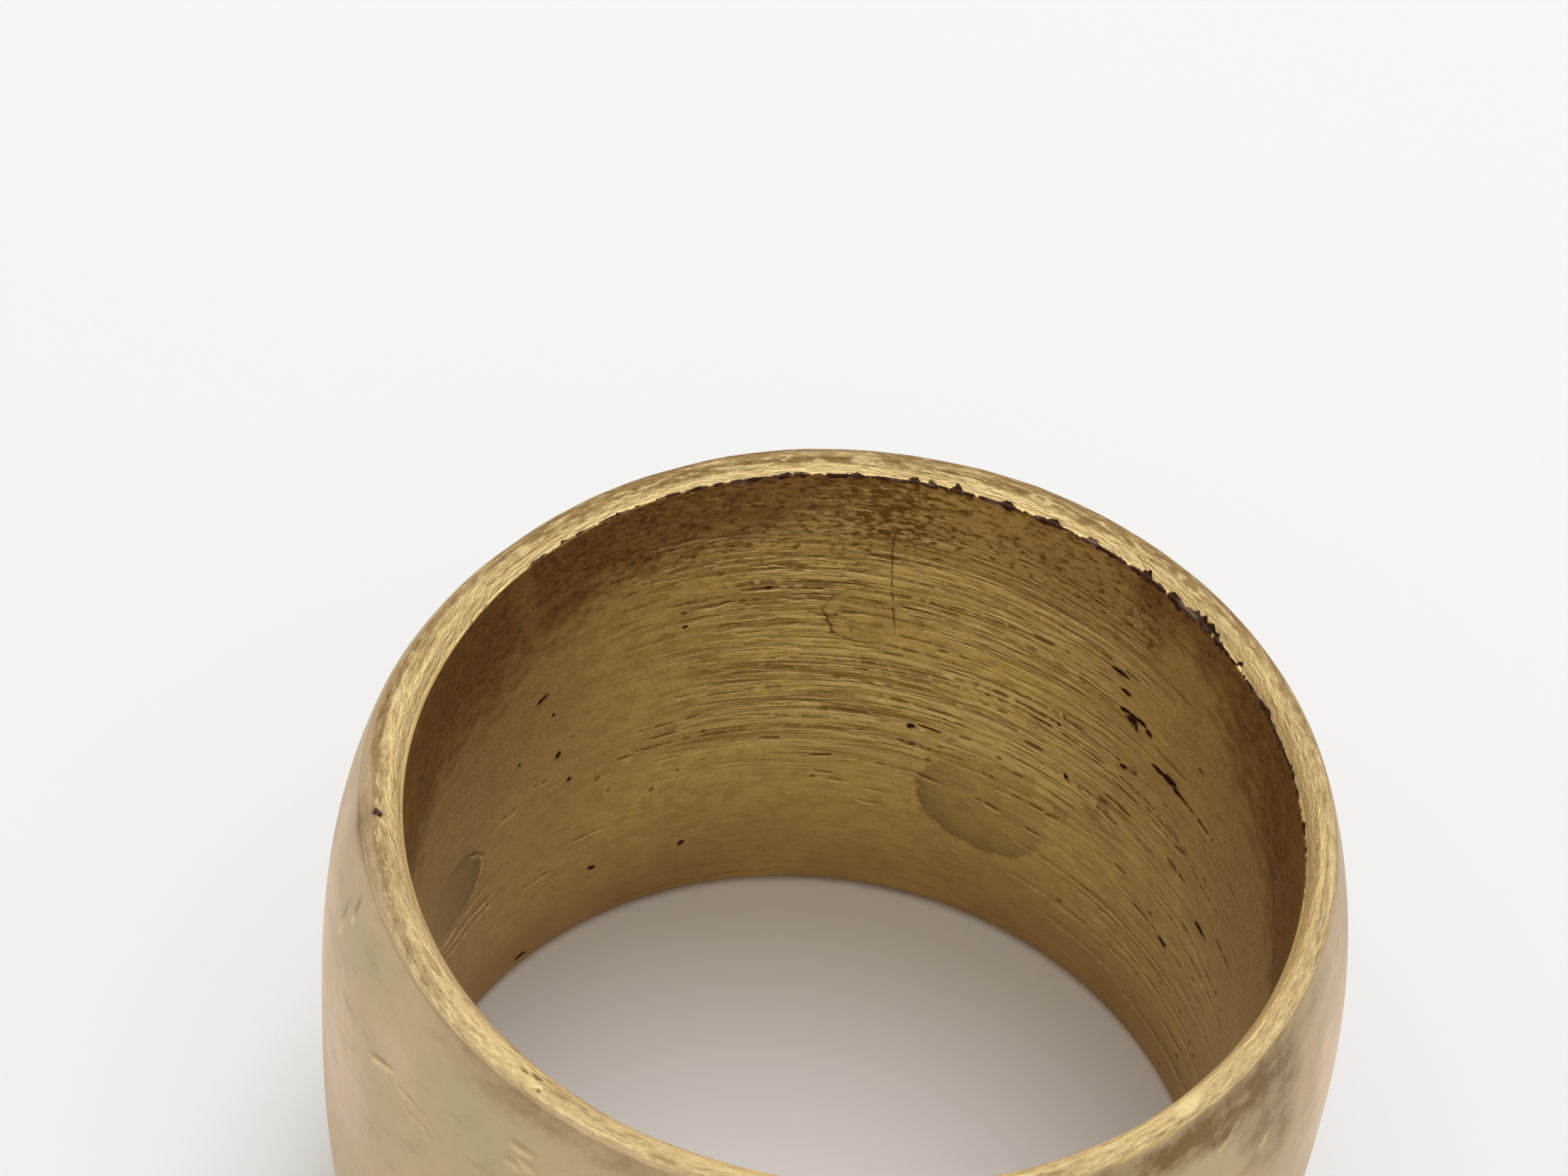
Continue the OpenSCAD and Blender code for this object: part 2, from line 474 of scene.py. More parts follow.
# Purplish black oxide in the corner between the bore and the upper rim: how thick it lies, by angle
OXIDE = [
    # angle, thickness in millimetres
    (-12, 0), (-4, 0.03), (10, 0.04), (30, 0.07), (36, 0.15), (44, 0.16), (47, 0.11), (60, 0.11), (84, 0.1),
    (90, 0.11), (100, 0.1), (106, 0.12), (113, 0.08), (120, 0.04), (136, 0.03), (150, 0.02), (185, 0),
]
# Where it has crept on to the rim: angle, how far, and half its width in degrees
SPIKES = [
    (102.5, 0.05, 1.5), (86, 0.1, 0.7), (83.5, 0.09, 0.5), (80, 0.1, 0.6), (66, 0.08, 0.7), (60, 0.09, 0.6),
    (51, 0.08, 0.8), (46, 0.1, 0.9), (39.5, 0.12, 3.2), (32, 0.12, 0.6), (137, 0.05, 0.4), (94, 0.04, 0.8),
    (73, 0.05, 0.8), (24, 0.05, 0.8), (14, 0.04, 0.7),
]


def spread_oxide():
    over = along - FOOT
    thick = at_columns(OXIDE)
    ragged = grain(31, 0.26, 0.5, 3)
    torn = grain(35, 0.12, 0.4, 2)
    creep = blank[:, :1].copy()
    for at_angle, reach, half in SPIKES:
        creep = np.maximum(creep, reach * smooth(half * 1.6, half * 0.2, np.abs(turned_from(at_angle))))
    upper = 0.015 + 0.02 * ragged + 0.015 * torn + creep * (1 + 0.5 * torn)
    lower = -thick * (0.75 + 0.5 * ragged + 0.5 * torn)
    inside = smooth(0.025, -0.025, over - upper) * smooth(-0.025, 0.025, over - lower)
    inside = inside * smooth(0.003, 0.03, thick) * smooth(-1.5, -0.8, ragged + torn)
    raise_to(black, inside)
    relief[:] -= 0.01 * inside


spread_oxide()

# Reddish brown tarnish hangs down from the rim: the height that it reaches down to, by angle
TARNISH_FOOT = [
    (-20, 8.5), (0, 9.6), (10, 10.6), (20, 11.4), (30, 12.3), (38, 13.2), (43, 14), (46, 13.3), (50, 13.4),
    (53, 14.4), (60, 14.7), (82, 14.7), (90, 14.4), (97, 13.6), (106, 13.1), (115, 12.8), (125, 12.5),
    (132, 12.3), (145, 11.6), (155, 10.8), (165, 10), (180, 9), (195, 8.6),
]
# How wide the change from tarnished to clean is, by angle
TARNISH_FADE = [(-20, 4.0), (20, 2.6), (40, 1.6), (100, 1.6), (125, 2.6), (150, 4.0), (190, 5.0)]


def spread_tarnish():
    foot = at_columns(TARNISH_FOOT)
    fade = at_columns(TARNISH_FADE)
    hang = smooth(-0.5, 0.7, (height - foot) / fade)
    tarnish[:] = np.where(on_bore, hang, 0)
    # A strip of it has worn off at the far left
    gap = smooth(3.2, 0.8, np.abs(angle - 144.5)) * smooth(12.8, 13.4, height) * on_bore
    tarnish[:] *= 1 - 0.5 * gap


spread_tarnish()

# A thin brown film, thickest at the sides and low down: how thick it is by angle, and by height
FILM_ROUND = [
    (-90, 0.1), (-40, 0.2), (-20, 0.8), (0, 0.9), (12, 0.75), (30, 0.6), (50, 0.42), (65, 0.05), (100, 0),
    (120, 0.3), (135, 0.55), (150, 0.75), (175, 0.8), (195, 0.9), (215, 0.2), (270, 0.1),
]
FILM_UP = [(0, 0.95), (1.2, 0.85), (2.5, 0.6), (4, 0.35), (6, 0.15), (8.5, 0), (15.2, 0)]


def spread_film():
    by_angle = at_columns(FILM_ROUND)
    by_height = np.interp(height, *zip(*FILM_UP))
    under_rim = 0.7 * smooth(11.6, 13.8, height)
    film[:] = np.maximum(np.maximum(by_angle, by_height), under_rim) + 0.35 * by_angle * by_height
    film[:] = np.clip(film, 0, 1) * on_bore


spread_film()


def scatter_blotches():
    """Where small dark blotches lie below the rim: on the far side, and to the right and the left of it."""
    under_rim = smooth(11.8, 13.4, height) * smooth(36, 50, angle) * smooth(100, 84, angle)
    far_left = smooth(10.5, 13.2, height) * smooth(76, 92, angle) * smooth(138, 124, angle)
    speckle[:] = np.where(on_bore, 0.85 * under_rim + 0.85 * far_left, 0)


scatter_blotches()


# Round stains left by drops in the bore, each with a side where it is darkest
DROPS = [
    # angle, height, half length, half height, dullness, ring, degrees from the right to the dark side
    (89.8, 10.25, 1.1, 0.98, 0.3, 1, 200), (69, 4.55, 1.75, 1.65, 1, 0.5, 235),
    (159, 5.85, 1.2, 1.05, 1.5, 0.6, 0), (83.6, 10.15, 0.32, 0.36, 0.5, 0.6, 0),
]
# Small dull scabs beside the pits: angle, height, half length, half height
SCABS = [
    (46.6, 8.75, 0.16, 0.11), (50.6, 6.93, 0.16, 0.18), (52.2, 6.36, 0.26, 0.15), (57.2, 5.65, 0.18, 0.17),
    (39.7, 8.63, 0.11, 0.07), (41.5, 6.77, 0.5, 0.08), (49.4, 6.8, 0.14, 0.14),
]


def leave_drops():
    for at_angle, at_height, half_long, half_high, dull, ring, side in DROPS:
        area, right, up = patch((at_angle, at_height), max(half_long, half_high) + 0.4)
        away = np.hypot(right / half_long, up / half_high) + 0.07 * coarse_fray[area] + 0.04 * fray[area]
        turn = math.radians(side)
        facing = right / half_long * math.cos(turn) + up / half_high * math.sin(turn)
        heavy = smooth(-0.7, 0.9, facing)
        inside = smooth(1.02, 0.94, away) * (0.3 + 0.3 * heavy + 0.5 * heavy * smooth(0.55, 0.95, away))
        rim = smooth(0.05, 0.01, np.abs(away - 0.97)) * smooth(-0.8, 0.1, coarse_fray[area])
        rim = rim * (0.25 + 0.75 * heavy)
        raise_to(stain, dull * inside, area)
        raise_to(groove, 0.6 * ring * rim, area)
        relief[area] -= 0.006 * inside
        hatch[area] *= 1 - 0.7 * smooth(1.02, 0.9, away)
    for at_angle, at_height, half_long, half_high in SCABS:
        area, right, up = patch((at_angle, at_height), max(half_long, half_high) + 0.3)
        away = np.hypot(right / half_long, up / half_high) + 0.5 * fray[area]
        raise_to(stain, 0.8 * smooth(1.2, 0.6, away), area)
        rim = smooth(0.2, 0.05, np.abs(away - 1.0)) * smooth(-0.4, 0.4, coarse_fray[area])
        raise_to(groove, 0.45 * rim, area)


def crinkle_share(at_angle, at_height):
    """How thick the short, crinkled marks lie at a place in the bore, from 0 to 1."""
    top = smooth(74, 90, at_angle) * smooth(136, 118, at_angle) * smooth(8.2, 11.0, at_height)
    middle = smooth(92, 100, at_angle) * smooth(124, 112, at_angle) * smooth(4.5, 7.0, at_height)
    return np.maximum(top, 0.5 * middle)


hatch[:] = np.where(on_bore, 0.12 + 0.88 * groove_share(angle, height), 0)
crinkle[:] = np.where(on_bore, crinkle_share(angle, height), 0)
leave_drops()

# The rims, the outside, and how far across the rim a place lies
edge[:] = smooth(-0.05, 0.05, along - FOOT) * smooth(0.1, -0.1, along - CORNER)
edge[:] += smooth(-0.1, 0.1, along - LOW_CORNER)
worn = 0.06 * grain(51, 1.5, 0.8, 2)
# How much further the dull outside reaches over the outer corner, by angle
OUTSIDE_REACH = [
    (-90, 0), (-65, -0.06), (-35, -0.12), (-10, -0.06), (20, 0), (176, 0.05), (186, 0.28), (200, 0.26),
    (211, 0.02), (270, 0),
]
worn = worn + at_columns(OUTSIDE_REACH)
outside[:] = smooth(-0.2, 0.0, along - CORNER + worn) * smooth(0.2, 0.0, along - LOW_CORNER + worn)
across[:] = np.interp(along, LEG_AT, [0, 0, 1, 1, 0])
# The rim's painted highlight, where above 0, and painted shade, where below 0, by angle, at five shares of
# the way across
PAINTED_RIM_SHADING_ACROSS = [0.11, 0.27, 0.42, 0.55, 0.69]
PAINTED_RIM_SHADING = [
    (-90, 0.3, 0.9, 0.7, 0.7, 0.3), (-60, 0.3, 1, 0.7, 0.7, 0.3), (-45, 0.7, 1, 0.9, 0.6, 0.4),
    (-30, 1, 1, 0.8, 0.6, 0.4), (-15, 1, 1, 0.8, 0.3, 0.3), (0, 1, 1, 0.8, 0.4, 0.6),
    (15, 1, 1, 0.3, 0.4, 0.3), (30, 1, 1, 0.2, 0.6, 0), (45, 1, 0.3, -0.4, 0.1, 0),
    (60, 1, 0.1, -1, 0.5, 0), (90, 1, 0.1, -1, 0.7, 0), (120, 1, -0.2, -0.9, 0.6, -0.2),
    (140, 1, 0.3, -0.2, 0.1, 0), (150, 1, 0.6, 0.4, 0.3, 0.2), (165, 1, 0.7, 0.2, 0.5, -0.1),
    (180, 1, 1, 0.4, 0.4, -0.5), (195, 1, 0.5, 0.1, -0.4, -1), (205, 0.9, 0.5, 0.2, 0.1, -0.3),
    (225, 0.5, 0.8, 0.6, 0.6, 0.3), (240, 0.5, 0.8, 0.5, 0.1, 0.5), (255, 0.3, 0.7, 0.8, 0.7, 0.3),
    (270, 0.3, 0.9, 0.7, 0.7, 0.3),
]


def spread_painted_rim_shading():
    angles, *columns = zip(*PAINTED_RIM_SHADING)
    by_angle = [np.interp(angle, angles, column) for column in columns]
    painted_rim_shading[:] = by_angle[0]
    for i in range(len(by_angle) - 1):
        passed = smooth(PAINTED_RIM_SHADING_ACROSS[i], PAINTED_RIM_SHADING_ACROSS[i + 1], across)
        painted_rim_shading[:] += (by_angle[i + 1] - by_angle[i]) * passed
    painted_rim_shading[:] *= smooth(0.95, 0.8, across)


spread_painted_rim_shading()
# 1 on the far half of the ring and 0 on the near half
far[:] = smooth(-0.5, 0.5, np.sin(np.radians(angle)))

# Soft waves in the rims, the outside and the bore. The rims' waves only take metal away
relief[:] += 0.01 * (grain(41, 1.4, 0.35) - 1) * edge
relief[:] += 0.005 * (grain(43, 0.45, 0.16) - 1) * edge
relief[:] += 0.012 * grain(45, 5.0, 3.5) * outside
relief[:] += 0.004 * grain(47, 2.0, 1.2) * on_bore

# Dents in the outside, darkened inside with dirt and painted shade, and a painted highlight on the lip on
# their lower side
DENTS = [
    # angle, height, half length, half height, depth, slant in millimetres of rise for each one of run, dirt
    # and painted shade, which also sets the lip's painted highlight
    (200, 14.2, 0.1, 0.4, 0.03, 0.5, 0.5), (197.5, 13.5, 0.08, 0.45, 0.025, 0.8, 0.4),
    (213.5, 12.35, 0.4, 0.1, 0.025, 0.5, 0.5), (215.5, 12.55, 0.25, 0.07, 0.02, 0.5, 0.4),
    (220, 12.5, 0.62, 0.05, 0.015, 0.15, 0.3), (222, 12.2, 0.5, 0.05, 0.012, 0.1, 0.2),
    (236.5, 13.9, 0.35, 0.1, 0.015, 0.1, 0.4), (237.5, 13.6, 0.3, 0.08, 0.015, -0.1, 0.3),
    (235.5, 13.4, 0.22, 0.08, 0.012, 0.2, 0.3), (326, 13, 0.3, 0.1, 0.015, 0.3, 0.4),
    (207, 11.2, 0.3, 0.05, 0.01, 0.6, 0.2), (300, 14.2, 0.7, 0.05, 0.01, 0.2, 0.3),
    (320, 14, 0.6, 0.05, 0.01, 0.5, 0.3),
]


def knock_dents():
    place = (along > FOOT) & (along < LOW_CORNER)
    for at_angle, at_height, half_long, half_high, depth, slant, dirt_and_shade in DENTS:
        run = np.radians(turned_from(at_angle)) * OUTSIDE_R
        up = height - at_height - slant * run
        away = np.hypot(run / half_long, up / half_high) + 0.25 * fray
        lip = np.hypot(run / half_long, up / half_high + 1.3) + 0.25 * fray
        relief[:] -= depth * smooth(1.3, 0, away) * place
        # Darkening in the dent, dirt and painted shade, and a painted highlight on its lip
        raise_to(groove, dirt_and_shade * smooth(1.2, 0.4, away) * place)
        raise_to(painted_highlight, dirt_and_shade * smooth(1.1, 0.4, lip) * place)


knock_dents()


def soft_spots(rows, target):
    """Raises a layer to an amount in soft patches of the outside."""
    for at_angle, at_height, half_long, half_high, amount in rows:
        run = np.radians(turned_from(at_angle)) * OUTSIDE_R
        away = np.hypot(run / half_long, (height - at_height) / half_high) + 0.25 * coarse_fray
        place = along > FOOT
        raise_to(target, amount * smooth(1.3, 0.3, away) * place)


# Greenish and brown patches on the outside: angle, height, half length, half height, amount
GREEN_SPOTS = [
    (205, 13.8, 1.6, 0.6, 0.9), (230, 13.2, 1.8, 1.4, 0.8), (215, 11, 2.2, 2, 0.4), (256, 12, 2, 1.5, 0.4),
    (100, 11, 2.4, 2, 0.6), (30, 9, 2.6, 2.4, 0.5), (145, 8, 2.2, 2.6, 0.5), (70, 5, 2.4, 1.6, 0.5),
]
BROWN_SPOTS = [
    (300, 14.75, 1.4, 0.34, 0.8), (313, 14.55, 2.2, 0.55, 1.3), (327, 14.4, 1.8, 0.8, 1.1),
    (328, 13.1, 1.2, 1.4, 0.8), (235, 14.75, 2.8, 0.45, 0.5), (249, 14.85, 1.8, 0.34, 0.5),
    (326, 13, 0.4, 0.3, 0.8), (325, 14.2, 0.45, 0.22, 1.3), (319, 14.05, 0.4, 0.2, 1.2),
    (331, 13.8, 0.5, 0.25, 0.9), (192, 15, 0.9, 0.35, 0.8), (340, 14.5, 1.2, 0.4, 0.35),
    (280, 13.5, 1.6, 0.8, 0.3), (60, 13, 2, 1, 0.4), (120, 3, 2.4, 1.2, 0.5), (10, 4, 2.2, 1.4, 0.4),
    (165, 13.6, 1.6, 0.6, 0.4),
]
# Paler, pinkish patches, in the same way
PALE_SPOTS = [
    (190, 10.6, 1.8, 2.8, 1), (203, 10, 2, 2.4, 0.7), (187, 13.8, 0.8, 0.8, 0.4), (346, 11, 2, 3.4, 0.9),
    (216, 12.9, 1, 0.6, 0.4), (90, 8, 3, 3, 0.6), (20, 12, 2, 1.6, 0.5),
]
soft_spots(GREEN_SPOTS, green)
soft_spots(BROWN_SPOTS, brown)
soft_spots(PALE_SPOTS, pale)


# One blue black spot on the rim: angle, radius, size
SPOT = (191, 10.0, 0.13)


def ink_spot():
    at_angle, at_radius, size = SPOT
    run = np.radians(turned_from(at_angle)) * at_radius
    away = np.hypot(run, radius - at_radius) / size + 0.3 * fray
    raise_to(black, smooth(1.2, 0.6, away) * on_rim)


ink_spot()


# Dents in the rim: angle, radius, half length, half width, depth, dirt and painted shade inside, painted
# highlight
RIM_DENTS = [
    (314.6, 9.96, 0.4, 0.22, 0.025, 0, 1), (232.9, 9.95, 0.15, 0.05, 0.03, 0.8, 0),
    (234.3, 9.87, 0.17, 0.055, 0.035, 0.9, 0), (235.3, 10.07, 0.22, 0.09, 0.015, 0, 1),
    (235.8, 10.1, 0.08, 0.05, 0.03, 0.8, 0),
]


def knock_rim():
    for at_angle, at_radius, half_long, half_wide, depth, dirt_and_shade, painted_shine in RIM_DENTS:
        run = np.radians(turned_from(at_angle)) * at_radius
        away = np.hypot(run / half_long, (radius - at_radius) / half_wide) + 0.3 * fray
        # Darkening in the notch, dirt and painted shade, and a painted highlight
        raise_to(groove, dirt_and_shade * smooth(1.2, 0.4, away) * on_rim)
        raise_to(painted_highlight, painted_shine * smooth(1.2, 0.4, away) * on_rim)
        relief[:] -= depth * smooth(1.2, 0, away) * on_rim


knock_rim()

# Where the surface ends up
worn_radius = radius + relief * out_r
net = {
    "x": worn_radius * np.cos(np.radians(angle)) + shift,
    "y": worn_radius * np.sin(np.radians(angle)),
    "z": height + relief * out_h,
}
# The values that the material reads, and the place along the section
LAYERS = {
    "black": black, "tarnish": tarnish, "stain": stain, "edge": edge, "hatch": hatch, "crinkle": crinkle,
    "pale": pale, "outside": outside, "green": green, "brown": brown, "groove": groove, "film": film,
    "speckle": speckle, "painted_highlight": painted_highlight, "far": far, "across": across, "painted_rim_shading": painted_rim_shading,
    "along": along + blank,
}
# A cell is split while a value inside it is further than this from the straight run between its corners.
# The lower rim, which rests on the floor, is made coarser
SHAPE_TOLERANCE = 0.0037
LOW_TOLERANCE = 0.014
LAYER_TOLERANCE = {"black": 0.12, "stain": 0.12, "groove": 0.15, "edge": 0.2}


def bend(values, size, column, row):
    """How far the values inside cells of one size are from the straight run between their corners."""
    corner = [
        [values[column, row], values[column, (row + size) % ROWS]],
        [values[(column + size) % COLUMNS, row], values[(column + size) % COLUMNS, (row + size) % ROWS]],
    ]
    worst = np.zeros(len(column))
    step = max(1, size // 4)
    for i in range(0, size + 1, step):
        for j in range(0, size + 1, step):
            a, b = i / size, j / size
            straight = (corner[0][0] * (1 - a) + corner[1][0] * a) * (1 - b)
            straight += (corner[0][1] * (1 - a) + corner[1][1] * a) * b
            there = values[(column + i) % COLUMNS, (row + j) % ROWS]
            worst = np.maximum(worst, np.abs(there - straight))
    return worst


def split_cells():
    """The corner columns and rows of the cells of each size, coarse ones first."""
    column, row = np.meshgrid(np.arange(0, COLUMNS, COARSE), np.arange(0, ROWS, COARSE), indexing="ij")
    column, row = column.ravel(), row.ravel()
    kept = []
    size = COARSE
    while size > 1:
        again = np.zeros(len(column), bool)
        allowed = np.where(row < ROW_AT[3], SHAPE_TOLERANCE, LOW_TOLERANCE)
        for name in "xyz":
            again |= bend(net[name], size, column, row) > allowed
        for name, tolerance in LAYER_TOLERANCE.items():
            again |= bend(LAYERS[name], size, column, row) > tolerance
        kept.append((size, column[~again], row[~again]))
        column, row = column[again], row[again]
        half = size // 2
        column = np.concatenate([column + i for i in (0, half) for _ in (0, half)])
        row = np.concatenate([row + j for _ in (0, half) for j in (0, half)])
        size = half
    kept.append((1, column, row))
    return kept


def net_faces(cells):
    """Which points of the net are corners, and each face's points in order round it."""
    used = np.zeros((COLUMNS, ROWS), bool)
    for size, column, row in cells:
        for i in (0, size):
            for j in (0, size):
                used[(column + i) % COLUMNS, (row + j) % ROWS] = True
    number = np.cumsum(used.ravel()).reshape(used.shape) - 1
    faces = []
    for size, column, row in cells:
        run = np.arange(size)
        go = np.concatenate([0 * run, run, 0 * run + size, size - run])
        rise = np.concatenate([run, 0 * run + size, size - run, 0 * run])
        round_columns = (column[:, None] + go) % COLUMNS
        round_rows = (row[:, None] + rise) % ROWS
        keep = used[round_columns, round_rows]
        points = number[round_columns, round_rows][keep]
        ends = np.cumsum(keep.sum(1))[:-1]
        faces += [face.tolist() for face in np.split(points, ends)]
    return used, faces


def make_band():
    used, faces = net_faces(split_cells())
    points = np.stack([net[name][used] for name in "xyz"], 1) * MM
    mesh = bpy.data.meshes.new("band_worn")
    mesh.from_pydata(points.tolist(), [], faces)
    mesh.shade_smooth()
    for name, values in LAYERS.items():
        layer = mesh.attributes.new(name, "FLOAT", "POINT")
        layer.data.foreach_set("value", values[used].astype(np.float32))
    return add("band_worn", mesh)


class Shader:
    """Short ways to add and join a material's nodes."""

    def __init__(self, name):
        self.material = bpy.data.materials.new(name)
        self.material.use_nodes = True
        self.tree = self.material.node_tree
        self.surface = self.tree.nodes["Principled BSDF"]
        self.place = self.node("TexCoord").outputs["Object"]

    def node(self, kind, **inputs):
        node = self.tree.nodes.new("ShaderNode" + kind)
        for name, value in inputs.items():
            self.put(node.inputs[name], value)
        return node

    def put(self, socket, value):
        if isinstance(value, bpy.types.NodeSocket):
            self.tree.links.new(value, socket)
        else:
            socket.default_value = value

    def layer(self, name):
        node = self.node("Attribute")
        node.attribute_name = name
        return node.outputs["Fac"]

    def math(self, operation, a, b=0.0, c=0.0):
        node = self.node("Math")
        node.operation = operation
        for socket, value in zip(node.inputs, (a, b, c)):
            self.put(socket, value)
        return node.outputs[0]

    def times(self, a, b):
        return self.math("MULTIPLY", a, b)

    def times_plus(self, a, b, c):
        return self.math("MULTIPLY_ADD", a, b, c)

    def mix(self, share, a, b):
        node = self.node("Mix")
        node.data_type = "RGBA"
        self.put(node.inputs["Factor"], share)
        self.put(node.inputs[6], a)
        self.put(node.inputs[7], b)
        return node.outputs[2]

    def step(self, value, low, high, low_out=0.0, high_out=1.0):
        """A smooth change from low_out at low to high_out at high."""
        node = self.node("MapRange", Value=value)
        node.interpolation_type = "SMOOTHSTEP"
        names = ("From Min", "From Max", "To Min", "To Max")
        for name, number in zip(names, (low, high, low_out, high_out)):
            self.put(node.inputs[name], number)
        return node.outputs[0]

    def unrolled(self, lean=0.0, lift=0.0):
        """A place on the surface in millimetres: round the ring as X and Y, along the section as Z."""
        parts = self.node("SeparateXYZ", Vector=self.place)
        flat = self.node("CombineXYZ", X=parts.outputs["X"], Y=parts.outputs["Y"])
        aim = self.node("VectorMath")
        aim.operation = "NORMALIZE"
        self.put(aim.inputs[0], flat.outputs[0])
        aimed = self.node("SeparateXYZ", Vector=aim.outputs[0])
        east = self.times(aimed.outputs["X"], BORE_R)
        north = self.times(aimed.outputs["Y"], BORE_R)
        up = self.times_plus(east, lean, self.math("ADD", self.layer("along"), lift))
        return self.node("CombineXYZ", X=east, Y=north, Z=up).outputs[0]

    def noise(self, where, long, high, detail=3.0, roughness=0.55):
        """Random waves from about 0.3 to 0.7, about long by high millimetres."""
        scaled = self.node("VectorMath")
        scaled.operation = "DIVIDE"
        self.put(scaled.inputs[0], where)
        scaled.inputs[1].default_value = (long, long, high)
        noise = self.node("TexNoise", Vector=scaled.outputs[0], Scale=1, Detail=detail, Roughness=roughness)
        return noise.outputs["Fac"]

    def bump(self, height):
        """The normal of a surface raised by a height in millimetres."""
        return self.node("Bump", Height=height, Strength=1.0, Distance=MM).outputs[0]


# The metal's colours, as shares of red, green and blue light
BORE_GOLD = (0.775, 0.578, 0.176, 1)
BORE_LIGHT = (1.0, 0.79, 0.35, 1)
BORE_DEEP = (0.28, 0.155, 0.028, 1)
GROOVE_BROWN = (0.15, 0.07, 0.012, 1)
PIT_BROWN = (0.03, 0.012, 0.005, 1)
FILM_BROWN = (0.47, 0.292, 0.107, 1)
TARNISH_RED = (0.27, 0.115, 0.035, 1)
TARNISH_OLIVE = (0.38, 0.22, 0.06, 1)
TARNISH_DARK = (0.14, 0.06, 0.02, 1)
OXIDE_BLACK = (0.052, 0.021, 0.009, 1)
OXIDE_GREY = (0.2, 0.12, 0.085, 1)
STAIN_GREY = (0.31, 0.215, 0.072, 1)
EDGE_HIGHLIGHT = (1.0, 0.8, 0.41, 1)
EDGE_BROAD_HIGHLIGHT = (1.0, 0.76, 0.37, 1)
EDGE_GOLD = (0.56, 0.4, 0.17, 1)
EDGE_UMBER = (0.42, 0.28, 0.12, 1)
EDGE_TAN = (0.93, 0.69, 0.47, 1)
EDGE_CREAM = (0.6, 0.455, 0.235, 1)
EDGE_BROWN = (0.26, 0.14, 0.045, 1)
OUTSIDE_GOLD = (0.59, 0.44, 0.258, 1)
OUTSIDE_GREEN = (0.505, 0.425, 0.237, 1)
OUTSIDE_BROWN = (0.25, 0.155, 0.06, 1)
OUTSIDE_PINK = (0.8, 0.6, 0.42, 1)


# How far below a turning mark its lip, which gets a painted highlight, lies, in millimetres
GROOVE_LIP = 0.05
TURNING_MARKS = [
    # layer, length, height, where a mark begins and is full in the noise, strength of its painted shade,
    # depth
    ("hatch", 7, 0.17, 0.56, 0.64, 0.66, 0.016), ("hatch", 2.6, 0.16, 0.565, 0.655, 0.55, 0.016),
    ("crinkle", 1, 0.2, 0.545, 0.61, 0.7, 0.024),
]
# How far the outside's streaks rise for each millimetre of run
OUTSIDE_LEAN = 0.6
# Length and height of the noises' waves in millimetres
GATE = (1.3, 0.45)
BANDS = (9.0, 0.55)
GRIT = (1.3, 0.16)
BORE_CLOUD = (4.0, 3.0)
BLOTCH = (0.27, 0.12)
WRINKLE = (1.5, 0.16)
FINE_WRINKLE = (0.32, 0.11)
OUTSIDE_CLOUD = (3.0, 2.0)
STREAK = (1.2, 0.6)
MOTTLE = (0.55, 0.36)
SPECK = (0.13, 0.11)
# How much higher the metal stands at a noise's 1 than at its 0, in millimetres
GRIT_RISE = 0.012
MOTTLE_RISE = 0.028
TARNISH_RISE = -0.03
WRINKLE_RISE = -0.15
CLOUD_RISE = 0.06
STREAK_RISE = 0.02
SPECK_RISE = 0.014
# The clean bore's roughness, and what the tarnish, the rims, the outside and the mottling add to it
BORE_ROUGH = 0.38
TARNISH_ROUGH = 0.08
EDGE_ROUGH = 0.08
OUTSIDE_ROUGH = 0.04
MOTTLE_ROUGH = 0.12
# What the oxide adds to how metallic the surface is
OXIDE_DULL = -0.15


